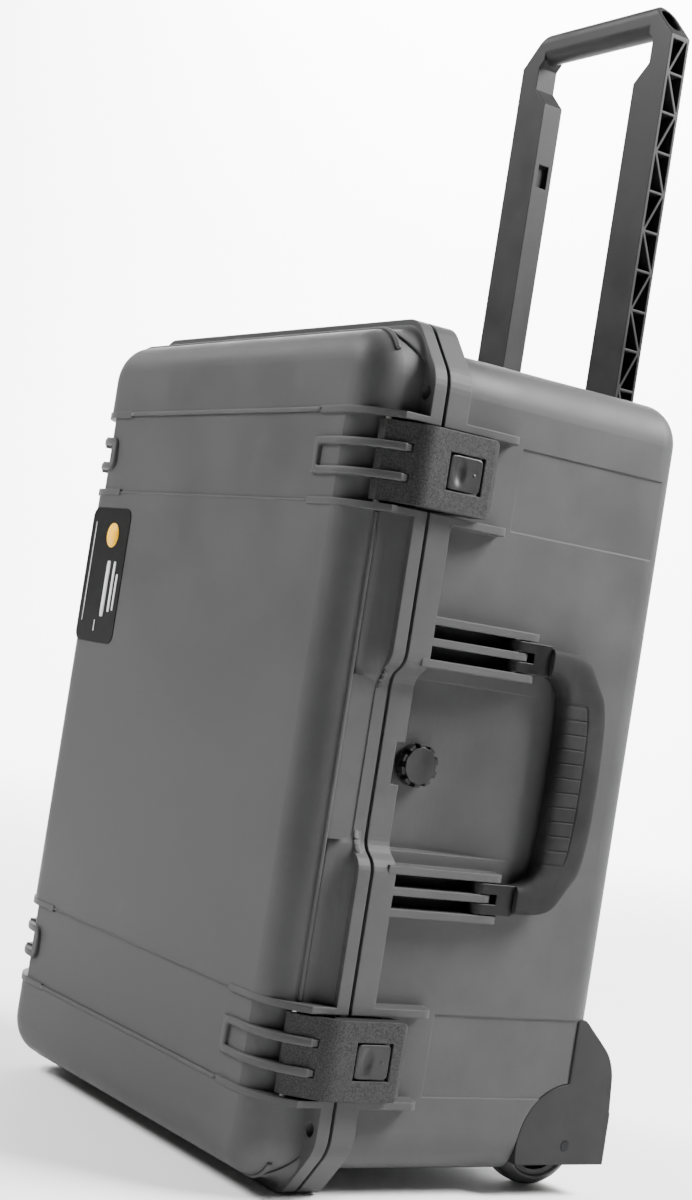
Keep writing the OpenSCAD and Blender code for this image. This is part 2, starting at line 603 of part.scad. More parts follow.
// ---------- valve ----------
module on_valve(x) translate([x, valve_y, zc]) rotate([0, 90, 0]) children();
module valve_body() color([0.1, 0.1, 0.1]) place() on_valve(0) difference() {
    union() {
        translate([0, 0, hx - 25]) cylinder(r = 8, h = 14 + 1.2);
        translate([0, 0, hx - scoop_d + 0.2]) cylinder(r = 10.5, h = 2);
        translate([0, 0, hx - 25]) cylinder(r = 11, h = 6, $fn = 6);
    }
    translate([0, 0, hx - 26]) cylinder(r = 3, h = 30);
}
module valve_knob() color([0.2, 0.2, 0.2]) place() on_valve(hx - scoop_d + 2.4)
    difference() {
        union() {
            cylinder(r = 13.5, h = 7);
            translate([0, 0, 6]) cylinder(r = 11.5, h = 2);
        }
        for (i = [0 : 9]) rotate([0, 0, 36 * i + 18]) translate([11.2, -1.8, 1.5]) cube([5, 3.6, 10]);
    }

// ---------- wheels ----------
module housing(s) color([0.27, 0.27, 0.27]) place() mirrored(s) difference() {
    union() {
        drum(drum_r, well_x + 0.5, hx - 0.3);
        side(soft(house_pts(), [1, 3, 5, 12, 9, 12, 9, 7, 3]), well_x + 0.5, hx - 0.3);
    }
    // wheel pocket, open below and behind
    drum(wheel_r + 2, wheel_x - wheel_w / 2 - 1.5, wheel_x + wheel_w / 2 + 1.5);
    translate([wheel_x - wheel_w / 2 - 1.5, wheel_y, -1]) cube([wheel_w + 3, big, wheel_r + 24]);
    // flat bottom and back
    translate([0, 0, -big]) cube([big, big, big + house_floor]);
    translate([0, house_back, 0]) cube([big, big, big]);
    drum(axle_r, 0, 300);
    // the base fills the rest
    difference() {
        tub(-0.3);
        drum(drum_r, 0, 300);
    }
}
// cylinder about the axle between x0 and x1
module drum(r, x0, x1) translate([x0, wheel_y, wheel_r]) rotate([0, 90, 0])
    cylinder(r = r, h = x1 - x0, $fn = 64);
function house_pts() = [[180, house_floor - 3], [180, 112], [194.6, 119], [220, 95.6], [225.5, 84],
    [house_back, 50], [226.5, house_floor + 9], [215, house_floor + 0.6], [196, house_floor - 3]];
module wheel_housing_left() housing(-1);
module wheel_housing_right() housing(1);

module on_wheel(s) place() mirrored(s) translate([wheel_x, wheel_y, wheel_r]) rotate([0, 90, 0])
    children();
module axle(s) color("silver") on_wheel(s) translate([0, 0, well_x + 0.7 - wheel_x])
    cylinder(r = axle_r, h = hx - well_x - 0.7, $fn = 32);
module axle_left() axle(-1);
module axle_right() axle(1);
bearing_r = 11;
half_w = wheel_w / 2;
rim_r = 26.5;
// half of the hub's section, from the outside to the middle
function hub_half() = [[bearing_r, half_w - 7.5], [bearing_r, half_w - 0.5], [15, half_w - 0.5], [15, 4],
    [23, 4], [23, half_w - 1.5], [rim_r, half_w - 1.5]];
module hub(s) color([0.3, 0.3, 0.3]) on_wheel(s) rotate_extrude($fn = 64) polygon(concat(
    [[bearing_r - 2, half_w - 7.5]], hub_half(),
    [for (i = [6 : -1 : 0]) [hub_half()[i][0], -hub_half()[i][1]]],
    [[bearing_r - 2, 7.5 - half_w]]));
module tyre(s) color([0.08, 0.08, 0.08]) on_wheel(s) rotate_extrude($fn = 64) polygon(concat(
    [[rim_r, 1.5 - half_w], [rim_r + 2, -half_w]], arc([wheel_r - 6, 6 - half_w], 6, -90, 0, 8),
    arc([wheel_r - 6, half_w - 6], 6, 0, 90, 8), [[rim_r + 2, half_w], [rim_r, half_w - 1.5]]));
module bearings(s) color("silver") on_wheel(s) for (k = [-1, 1]) translate([0, 0, k * (half_w - 4) - 3.5])
    difference() {
        cylinder(r = bearing_r, h = 7);
        translate([0, 0, -1]) cylinder(r = axle_r + run, h = 9, $fn = 32);
    }
module wheel_hub_left() hub(-1);
module wheel_hub_right() hub(1);
module wheel_tyre_left() tyre(-1);
module wheel_tyre_right() tyre(1);
module wheel_bearings_left() bearings(-1);
module wheel_bearings_right() bearings(1);

base_shell();
wheel_housing_left();
wheel_housing_right();
axle_left();
axle_right();
handle_track_left();
handle_track_right();
track_screws();
handle_catches();
valve_body();
valve_knob();
handle_pins();
lid_shell();
lid_gasket();
label_plate();
hinge_pin_upper();
hinge_pin_lower();
latch_pin_upper();
latch_pin_lower();
latch_body_upper();
latch_button_upper();
button_spring_upper();
latch_body_lower();
latch_button_lower();
button_spring_lower();
front_handle_core();
front_handle_grip();
pull_handle();
wheel_hub_left();
wheel_tyre_left();
wheel_bearings_left();
wheel_hub_right();
wheel_tyre_right();
wheel_bearings_right();
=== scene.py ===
"""Looks of a wheeled hard equipment case, laid out as an add-on: one operator for each group of pieces."""

import bpy
import numpy as np
from mathutils import Matrix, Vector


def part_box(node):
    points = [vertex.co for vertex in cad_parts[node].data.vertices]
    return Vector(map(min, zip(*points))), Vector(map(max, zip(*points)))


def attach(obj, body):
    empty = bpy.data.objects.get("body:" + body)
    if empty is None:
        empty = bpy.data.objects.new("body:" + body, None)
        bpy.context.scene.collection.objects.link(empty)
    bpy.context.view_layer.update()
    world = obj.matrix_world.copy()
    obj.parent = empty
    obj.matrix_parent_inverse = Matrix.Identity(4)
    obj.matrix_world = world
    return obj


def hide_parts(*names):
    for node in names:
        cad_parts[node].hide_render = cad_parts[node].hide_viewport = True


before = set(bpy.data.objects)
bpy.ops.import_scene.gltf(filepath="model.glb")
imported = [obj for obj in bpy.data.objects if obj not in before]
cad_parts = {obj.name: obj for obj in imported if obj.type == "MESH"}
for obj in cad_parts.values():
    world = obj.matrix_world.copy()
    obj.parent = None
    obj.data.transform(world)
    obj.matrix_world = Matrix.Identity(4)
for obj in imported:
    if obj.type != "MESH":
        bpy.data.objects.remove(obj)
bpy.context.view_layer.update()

bl_info = {
    "name": "Equipment case looks",
    "version": (1, 0, 0),
    "blender": (4, 5, 0),
    "location": "View3D > Sidebar > Case",
    "description": "Finishes, soft grip, tyres, springs and trim of a wheeled hard case",
    "category": "Object",
}

# metres: the parting plane lies 0.9 mm under the gasket's outer edge, and mid height is half the lid's length
PART_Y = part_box("lid_gasket")[1].y - 0.0009
MID_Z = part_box("lid_shell")[1].z / 2
FLANGE_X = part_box("base_shell")[1].x
SHELL_X = FLANGE_X - 0.013
BAY_Z = 0.178
# millimetres from mid height: half a latch bay's height, and where the flat corners with the padlock holes begin
BAY_HALF = 29.3
PADLOCK_TOP = 240


# ---------- numbers and colour ----------
def linear(code):
    """sRGB hex code to linear RGBA: each channel c becomes ((c + 0.055) / 1.055) ** 2.4, or c / 12.92 when dark."""
    c = np.array([int(code[i:i + 2], 16) for i in (1, 3, 5)]) / 255
    return (*np.where(c > 0.04045, ((c + 0.055) / 1.055) ** 2.4, c / 12.92), 1.0)


def place(points_mm):
    """Design millimetres (y from the parting plane, z from mid height) to metres in the shared frame."""
    return np.asarray(points_mm, float) / 1000 + np.array([0, PART_Y, MID_Z])


def rounded(points, times):
    """Corner cutting: each side keeps its points at 1/4 and 3/4, several times over, so corners turn to arcs."""
    p = np.asarray(points, float)
    for _ in range(times):
        a, b = p[:-1], p[1:]
        cut = np.stack([0.75 * a + 0.25 * b, 0.25 * a + 0.75 * b], 1).reshape(-1, p.shape[1])
        p = np.vstack([p[:1], cut, p[-1:]])
    return p


def smoothed(line, times):
    """Each point of a closed line becomes half itself and a quarter of each neighbour, several times over."""
    for _ in range(times):
        line = 0.5 * line + 0.25 * (np.roll(line, 1, 0) + np.roll(line, -1, 0))
    return line


def power(value, exponent):
    """sgn(value) |value| ^ exponent, the building block of a superellipse."""
    return np.sign(value) * np.abs(value) ** exponent


def kept_runs(keep):
    """Row numbers of each unbroken stretch of a closed line where keep is true."""
    rows = np.arange(len(keep))
    runs = np.split(rows, np.flatnonzero(np.diff(keep.astype(int)) != 0) + 1)
    runs = [run for run in runs if keep[run[0]]]
    if len(runs) > 1 and runs[0][0] == 0 and runs[-1][-1] == rows[-1]:
        runs = [np.r_[runs[-1], runs[0]]] + runs[1:-1]
    return runs


def standing(right, up, back, spot):
    """Matrix that stands a lamp or camera at a spot, looking against its back axis."""
    return Matrix([[right[k], up[k], back[k], spot[k]] for k in range(3)] + [[0, 0, 0, 1]])


def spaced(points, n, closed=False):
    """n points at even arc length along a polyline."""
    p = np.vstack([points, points[:1]]) if closed else np.asarray(points, float)
    s = np.r_[0, np.cumsum(np.linalg.norm(np.diff(p, axis=0), axis=1))]
    t = np.linspace(0, s[-1], n + 1)[:-1] if closed else np.linspace(0, s[-1], n)
    return np.stack([np.interp(t, s, p[:, k]) for k in range(p.shape[1])], 1)


def surface(name, grid, wrap_u=False, wrap_v=False, caps=False):
    """Mesh object from a grid of points, metres, shape (rows, columns, 3). Columns close on themselves with wrap_u,
    rows with wrap_v. caps closes the first and last row with a fan round the row's middle."""
    rows, cols = grid.shape[:2]
    verts = grid.reshape(-1, 3)
    i = np.arange(rows if wrap_v else rows - 1)[:, None]
    j = np.arange(cols if wrap_u else cols - 1)[None, :]
    i2, j2 = (i + 1) % rows, (j + 1) % cols
    faces = np.stack([i * cols + j, i * cols + j2, i2 * cols + j2, i2 * cols + j], -1).reshape(-1, 4).tolist()
    if caps:
        verts = np.vstack([verts, grid[0].mean(0), grid[-1].mean(0)])
        j = np.arange(cols)
        first_pole, last_pole = rows * cols, rows * cols + 1
        first = np.stack([np.full(cols, first_pole), (j + 1) % cols, j], 1)
        last = (rows - 1) * cols + np.stack([j, (j + 1) % cols], 1)
        faces += first.tolist() + np.column_stack([np.full(cols, last_pole), last]).tolist()
    mesh = bpy.data.meshes.new(name)
    mesh.from_pydata(verts.tolist(), [], faces)
    mesh.validate()
    mesh.polygons.foreach_set("use_smooth", np.ones(len(mesh.polygons), bool))
    piece = bpy.data.objects.new(name, mesh)
    bpy.context.scene.collection.objects.link(piece)
    if signed_volume(mesh) < 0:
        mesh.flip_normals()
    mesh.update()
    return piece


def signed_volume(mesh):
    """Sum over triangles of a . (b x c) / 6: negative when the faces of a closed mesh point inwards."""
    mesh.calc_loop_triangles()
    tri = np.zeros(len(mesh.loop_triangles) * 3, int)
    mesh.loop_triangles.foreach_get("vertices", tri)
    co = np.zeros(len(mesh.vertices) * 3)
    mesh.vertices.foreach_get("co", co)
    a, b, c = co.reshape(-1, 3)[tri.reshape(-1, 3)].transpose(1, 0, 2)
    return float(np.einsum("ij,ij->i", a, np.cross(b, c)).sum() / 6)


def swept(path, section, across, up):
    """A closed section carried along a path: point = path(v) + s(u) * across(v) + t(u) * up(v)."""
    return (path[:, None, :] + section[None, :, :1] * across[:, None, :]
            + section[None, :, 1:] * up[:, None, :])


def circle_points(r, angles):
    """Points at the given angles round a circle of radius r."""
    return np.stack([r * np.cos(angles), r * np.sin(angles)], 1)


def joined(name, parts):
    """One mesh object from several, their meshes laid side by side."""
    verts, faces, base = [], [], 0
    for part in parts:
        co = np.zeros(len(part.data.vertices) * 3)
        part.data.vertices.foreach_get("co", co)
        verts.append(co.reshape(-1, 3))
        faces += [[base + k for k in poly.vertices] for poly in part.data.polygons]
        base += len(part.data.vertices)
        bpy.data.objects.remove(part)
    mesh = bpy.data.meshes.new(name)
    mesh.from_pydata(np.vstack(verts).tolist(), [], faces)
    mesh.polygons.foreach_set("use_smooth", np.ones(len(mesh.polygons), bool))
    piece = bpy.data.objects.new(name, mesh)
    bpy.context.scene.collection.objects.link(piece)
    return piece


# ---------- materials ----------
def add(tree, kind, settings=None, links=None):
    """Adds a shader node, sets its properties and input values, and links named inputs from (node, output)."""
    made = tree.nodes.new(kind)
    for key, value in (settings or {}).items():
        if isinstance(key, str) and hasattr(made, key) and key not in made.inputs:
            setattr(made, key, value)
        else:
            made.inputs[key].default_value = value
    for key, (source, output) in (links or {}).items():
        tree.links.new(source.outputs[output], made.inputs[key])
    return made


def moulded(name, dark, light, roughness, grain_mm, grain, cloud_mm, edge_mm, ior=1.49, spread=0.08, specular=0.25):
    """Plastic or rubber from a textured mould: cloudy colour between two greys, a fine grain in the bump and in the
    roughness, and edges rounded by edge_mm."""
    m = bpy.data.materials.new(name)
    m.use_nodes = True
    t = m.node_tree
    shader = t.nodes["Principled BSDF"]
    where = add(t, "ShaderNodeTexCoord")
    cloud = add(t, "ShaderNodeTexNoise", {"Scale": 1000 / cloud_mm, "Detail": 4.0, "Roughness": 0.6},
                {"Vector": (where, "Object")})
    fine = add(t, "ShaderNodeTexNoise", {"Scale": 1000 / grain_mm, "Detail": 2.0, "Roughness": 0.7},
               {"Vector": (where, "Object")})
    tone = add(t, "ShaderNodeMapRange", {"From Min": 0.35, "From Max": 0.65}, {"Value": (cloud, "Fac")})
    speck = add(t, "ShaderNodeMapRange", {"From Min": 0.3, "From Max": 0.7, "To Min": -0.18, "To Max": 0.18},
                {"Value": (fine, "Fac")})
    both = add(t, "ShaderNodeMath", {"operation": "ADD", "use_clamp": True},
               {0: (tone, "Result"), 1: (speck, "Result")})
    colour = add(t, "ShaderNodeMix", {"data_type": "RGBA"}, {0: (both, "Value")})
    colour.inputs[6].default_value = linear(dark)
    colour.inputs[7].default_value = linear(light)
    t.links.new(colour.outputs[2], shader.inputs["Base Color"])
    gloss = add(t, "ShaderNodeMapRange", {"From Min": 0.3, "From Max": 0.7, "To Min": roughness - spread,
                                          "To Max": roughness + spread}, {"Value": (cloud, "Fac")})
    t.links.new(gloss.outputs["Result"], shader.inputs["Roughness"])
    edge = add(t, "ShaderNodeBevel", {"samples": 4, "Radius": edge_mm / 1000})
    bump = add(t, "ShaderNodeBump", {"Strength": grain, "Distance": 0.0002},
               {"Height": (fine, "Fac"), "Normal": (edge, "Normal")})
    t.links.new(bump.outputs["Normal"], shader.inputs["Normal"])
    shader.inputs["IOR"].default_value = ior
    shader.inputs["Specular IOR Level"].default_value = specular
    return m


def metal(name, code, roughness, line_mm, edge_mm=0.3):
    """Steel with fine turning or drawing lines: stretched noise drives roughness and a faint bump."""
    m = bpy.data.materials.new(name)
    m.use_nodes = True
    t = m.node_tree
    shader = t.nodes["Principled BSDF"]
    shader.inputs["Base Color"].default_value = linear(code)
    shader.inputs["Metallic"].default_value = 1.0
    where = add(t, "ShaderNodeTexCoord")
    long = add(t, "ShaderNodeMapping", {"Scale": (1.0, 1.0, 0.06)}, {"Vector": (where, "Object")})
    lines = add(t, "ShaderNodeTexNoise", {"Scale": 1000 / line_mm, "Detail": 3.0}, {"Vector": (long, "Vector")})
    gloss = add(t, "ShaderNodeMapRange", {"To Min": roughness - 0.08, "To Max": roughness + 0.1},
                {"Value": (lines, "Fac")})
    t.links.new(gloss.outputs["Result"], shader.inputs["Roughness"])
    edge = add(t, "ShaderNodeBevel", {"samples": 4, "Radius": edge_mm / 1000})
    bump = add(t, "ShaderNodeBump", {"Strength": 0.15, "Distance": 0.0001},
               {"Height": (lines, "Fac"), "Normal": (edge, "Normal")})
    t.links.new(bump.outputs["Normal"], shader.inputs["Normal"])
    return m


def finish(node_names, material):
    """Gives CAD nodes a material in every slot."""
    for name in node_names:
        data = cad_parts[name].data
        if not data.materials:
            data.materials.append(material)
        for k in range(len(data.materials)):
            data.materials[k] = material


# ---------- settings ----------
class CaseSettings(bpy.types.PropertyGroup):
    """Sizes and colours that change the looks of the case."""
    shell_dark: bpy.props.StringProperty(
        name="Shell dark", description="Darker grey of the shells, sRGB hex", default="#3a3a3a")
    shell_light: bpy.props.StringProperty(
        name="Shell light", description="Lighter grey of the shells, sRGB hex", default="#404040")
    edge_round: bpy.props.FloatProperty(
        name="Edge rounding", description="Radius of moulded edges, mm", default=1.3, min=0.2, max=3)
    grain: bpy.props.FloatProperty(
        name="Grain size", description="Pitch of the moulded grain, mm, drawn coarser than real",
        default=0.9, min=0.3, max=3)
    finger_pads: bpy.props.IntProperty(
        name="Finger pads", description="Pads on the soft grip", default=11, min=0, max=20)
    coil_turns: bpy.props.FloatProperty(
        name="Coil turns", description="Turns of a button spring", default=3.5, min=2, max=6)


# ---------- operators ----------
class CASE_OT_finishes(bpy.types.Operator):
    """Gives every CAD node its moulded, rubber or steel finish."""
    bl_idname = "case.finishes"
    bl_label = "Finishes"

    def execute(self, context):
        s = context.scene.case_settings
        # polypropylene copolymer shells, injection moulded in a spark-eroded mould: satin, with a faint grain
        shell = moulded("moulded_polypropylene_shell", s.shell_dark, s.shell_light, 0.52, s.grain, 0.25, 60,
                        s.edge_round, specular=0.12)
        # darker, satin housings, and tracks so dark that they read as shadow behind the case
        housing = moulded("moulded_housing_plastic", "#232323", "#292929", 0.5, 0.9, 0.25, 40, 1.6, specular=0.12)
        track = moulded("moulded_track_plastic", "#101010", "#161616", 0.55, 0.9, 0.25, 40, 0.8)
        # glass-filled nylon latches: rougher speckle that catches the light
        latch = moulded("glass_filled_nylon", "#161616", "#343434", 0.52, 0.6, 0.7, 1.0, 1.0, specular=0.15)
        # smooth nylon buttons and valve knob: a little glossier than the latches round them
        button = moulded("satin_nylon_button", "#191919", "#212121", 0.42, 0.8, 0.2, 20, 0.5)
        # acetal end pieces of the side handle: near black, smoother, so that their edges shine
        clevis = moulded("moulded_acetal_clevis", "#090909", "#0f0f0f", 0.38, 0.8, 0.15, 12, 0.7, specular=0.2)
        # satin nylon pull handle, gate-flow clouds
        pull = moulded("moulded_pull_handle_nylon", "#1a1a1a", "#242424", 0.5, 0.9, 0.2, 45, 1.2, specular=0.12)
        # nylon wheel hubs: near black and even
        hub = moulded("moulded_hub_nylon", "#181818", "#1d1d1d", 0.5, 0.9, 0.25, 30, 0.6)
        # foamed rubber cord: a matt black line round the lid
        gasket = moulded("closed_cell_gasket_rubber", "#0f0f0f", "#171717", 0.8, 0.6, 0.5, 5, 0.4)
        # drawn stainless pins: bright specks at the latches, hinges and handle
        pin = metal("drawn_stainless_steel", "#b9b9b6", 0.3, 0.4)
        # axle ends blackened against rust
        black_pin = metal("blackened_axle_steel", "#2b2b2c", 0.5, 0.4)
        # zinc-plated screws: cooler and duller than the pins
        screw = metal("zinc_plated_steel", "#a9abad", 0.38, 0.5)
        finish(["base_shell", "lid_shell"], shell)
        finish(["wheel_housing_left", "wheel_housing_right"], housing)
        finish(["handle_track_left", "handle_track_right", "handle_catches"], track)
        finish(["latch_body_upper", "latch_body_lower"], latch)
        finish(["front_handle_core", "valve_body"], clevis)
        finish(["latch_button_upper", "latch_button_lower", "valve_knob"], button)
        finish(["pull_handle"], pull)
        finish(["wheel_hub_left", "wheel_hub_right"], hub)
        finish(["lid_gasket"], gasket)
        finish(["axle_left", "axle_right"], black_pin)
        finish(["handle_pins", "hinge_pin_upper", "hinge_pin_lower", "latch_pin_upper",
                "latch_pin_lower", "wheel_bearings_left", "wheel_bearings_right"], pin)
        finish(["track_screws"], screw)
        return {"FINISHED"}


class CASE_OT_soft_grip(bpy.types.Operator):
    """Builds the overmoulded grip of the side handle, with finger pads."""
    bl_idname = "case.soft_grip"
    bl_label = "Soft grip"

    def execute(self, context):
        # natural rubber skin moulded over the core: dull black, slightly grey where handled
        skin = moulded("overmoulded_grip_rubber", "#161616", "#232323", 0.72, 0.8, 0.45, 25, 0.3,
                       ior=1.52, specular=0.1)
        pads = context.scene.case_settings.finger_pads
        outer = np.array([[109, 84.3], [129, 84], [141, 80.5], [149, 69], [163, 50]])
        inner = np.array([[109, 66.4], [114, 65.8], [121, 60.5], [126, 50]])
        # the outer and inner edge, y and z in mm, mirrored about mid height and laid from end to end;
        # rows are 1 mm apart at the bends and 0.25 mm apart over the pads
        fine = 1200
        lines = [spaced(rounded(np.vstack([line, line[::-1] * [1, -1]]), 4), fine) for line in (outer, inner)]
        row = np.r_[np.linspace(0, 0.26, 60), np.linspace(0.26, 0.74, 460)[1:-1], np.linspace(0.74, 1, 60)]
        outer, inner = [np.stack([np.interp(row, np.linspace(0, 1, fine), line[:, k]) for k in (0, 1)], 1)
                        for line in lines]
        # the section is a superellipse: across = sgn(cos u) |cos u| ^ 0.5, thick likewise with sin u
        front, rear = [np.sin(np.linspace(1, -1, count) * np.pi / 2)[1:-1] for count in (112, 40)]
        turn, back_turn = [np.arccos(np.sign(q) * q ** 2) for q in (front, rear)]
        u = np.r_[0, turn, np.pi, np.pi + back_turn]
        across, thick = power(np.cos(u), 0.5), power(np.sin(u), 0.5)
        low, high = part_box("front_handle_grip")
        x_mid, x_half = 500 * (low.x + high.x), 500 * (high.x - low.x)
        share = 0.5 + 0.5 * across[None, :, None]
        yz = inner[:, None, :] * (1 - share) + outer[:, None, :] * share
        z = yz[..., 1]
        # pads: thin grooves across the inner half of the outer face, closed by one groove along it
        reach, middle, groove_w, groove_d = 51, 0.53, 0.42, 0.75
        pitch = 2 * reach / max(pads, 1)
        step = np.abs((z + reach) / pitch - np.round((z + reach) / pitch)) * pitch
        inner_half = (share[..., 0] < middle) & (np.abs(z) < reach + groove_w - 0.02)
        groove = inner_half * np.exp(-(step / groove_w) ** 2)
        along = (np.abs(z) < reach) * np.exp(-((share[..., 0] - middle) / 0.013) ** 2)
        pad_drop = groove_d * np.maximum(groove, along) * (thick[None, :] > 0.3)
        x = x_mid + (x_half - 0.3) * thick[None, :] - pad_drop
        grid = np.stack([x, yz[..., 0], yz[..., 1]], -1)
        grip = surface("side_handle_soft_grip", place(grid), wrap_u=True, caps=True)
        grip.data.materials.append(skin)
        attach(grip, "front_handle")
        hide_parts("front_handle_grip")
        return {"FINISHED"}


def flange_outline(inset, n, softness):
    """Closed outline of the lid's flange in x and z from mid height, mm: a polygon with cut corners and the handle's
    recess on its right, moved in by inset, its corners softened by smoothing."""
    edge, h = 1000 * FLANGE_X, 1000 * MID_Z - inset
    f = edge - inset
    cut_z, cut_x = 234, edge - 29 - inset / 2
    mouth, bottom, recess = 60.3, 52.5, 12.4
    line = [[f, -cut_z], [f, -mouth], [f - recess, -bottom], [f - recess, bottom], [f, mouth], [f, cut_z],
            [cut_x, h], [-cut_x, h], [-f, cut_z], [-f, -cut_z], [-cut_x, -h], [cut_x, -h]]
    dense = spaced(spaced(np.array(line), 400, closed=True), 1200, closed=True)
    return spaced(smoothed(dense, softness), n, closed=True)


class CASE_OT_label(bpy.types.Operator):
    """Finishes the label plate and prints a plain mark and blank lines on it, with no lettering."""
    bl_idname = "case.label"
    bl_label = "Label"

    def execute(self, context):
        # screen-printed polyester plate: smooth, black, slightly glossy
        plate = moulded("printed_polyester_plate", "#040404", "#070707", 0.42, 1.5, 0.05, 30, 0.3,
                        spread=0.04, specular=0.1)
        # inks: flat, even colour that stands just proud of the plate
        amber = moulded("amber_screen_ink", "#eeb000", "#f6bd06", 0.45, 1.5, 0.1, 10, 0.1,
                        spread=0.03, specular=0.1)
        white = moulded("white_screen_ink", "#b9b9b9", "#c9c9c9", 0.4, 1.5, 0.1, 10, 0.1, spread=0.03)
        finish(["label_plate"], plate)
        low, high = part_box("label_plate")
        t = np.linspace(0, 2 * np.pi, 64, endpoint=False)

        def mark(x, z, a, b, p):
            """Superellipse of half sizes a and b about (x, z): |x/a|^p + |z/b|^p = 1, drawn 0.15 mm proud."""
            ring = np.stack([x + a * power(np.cos(t), 2 / p), 0 * t, z + b * power(np.sin(t), 2 / p)], 1) / 1000
            ring += [low.x, low.y, low.z]
            front, back = ring - [0, 0.00015, 0], ring + [0, 0.0002, 0]
            return surface("mark", np.stack([front, back]), wrap_u=True, caps=True)

        wide, tall = 1000 * (high.x - low.x), 1000 * (high.z - low.z)
        disc = joined("label_disc", [mark(wide * 0.6, tall * 0.8, 8.8, 8.8, 2)])
        # blank bars: middle as a share of the plate, then half sizes in mm
        lines = [(0.62, 0.40, 2.6, 20.0), (0.78, 0.42, 1.7, 18.0), (0.88, 0.38, 1.3, 13.0),
                 (0.12, 0.52, 0.5, 36.0), (0.47, 0.12, 0.6, 4.0)]
        bars = joined("label_bars", [mark(wide * x, tall * z, a, b, 8) for x, z, a, b in lines])
        for piece, ink in ((disc, amber), (bars, white)):
            piece.data.materials.append(ink)
            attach(piece, "lid")
        return {"FINISHED"}


class CASE_OT_buttons(bpy.types.Operator):
    """Builds the push buttons of the latches, each a crowned plate with a thumb dimple."""
    bl_idname = "case.buttons"
    bl_label = "Latch buttons"

    def execute(self, context):
        satin = bpy.data.materials["satin_nylon_button"]
        for side in ("upper", "lower"):
            low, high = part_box("latch_button_" + side)
            y0, z0 = 500 * (low.y + high.y), 500 * (low.z + high.z)
            half_y, half_z = 12.1, 10.6
            top, bottom = 1000 * high.x + 0.6, 1000 * low.x
            # rings from the middle to the rim, rounded over at the rim, then down the sides:
            # y and z follow a superellipse of power 9, x = top - dimple - roll-over
            t = np.linspace(0, 2 * np.pi, 96, endpoint=False)
            c, s = np.cos(t), np.sin(t)
            shape = (np.abs(c) ** 9 + np.abs(s) ** 9) ** (-1 / 9)
            # underneath, a pocket 3.5 mm deep takes the spring when the button is pressed
            q = np.r_[np.linspace(0.02, 0.93, 26), 0.96, 0.985, 1.0, 1.0, 1.0, 0.5, 0.5, 0.02]
            deep, pocket = top - bottom, 3.5
            drop = np.r_[np.zeros(26), 0.12, 0.4, 0.9, 3.0, deep, deep, deep - pocket, deep - pocket]
            y = half_y * q[:, None] * shape * c
            z = half_z * q[:, None] * shape * s
            hollow = 1.5 * np.exp(-(((y + 4.2) / 3.6) ** 2 + (z / 6.6) ** 2) ** 1.6)
            dot = 0.5 * np.exp(-(((y - 6.5) / 0.8) ** 2 + (z / 0.8) ** 2) ** 2)
            x = top - drop[:, None] - (hollow - dot) * (drop[:, None] == 0)
            grid = np.stack([x, y + y0, z + z0], -1) / 1000
            button = surface("push_button_" + side, grid, wrap_u=True, caps=True)
            button.data.materials.append(satin)
            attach(button, "button_" + side)
            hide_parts("latch_button_" + side)
        return {"FINISHED"}


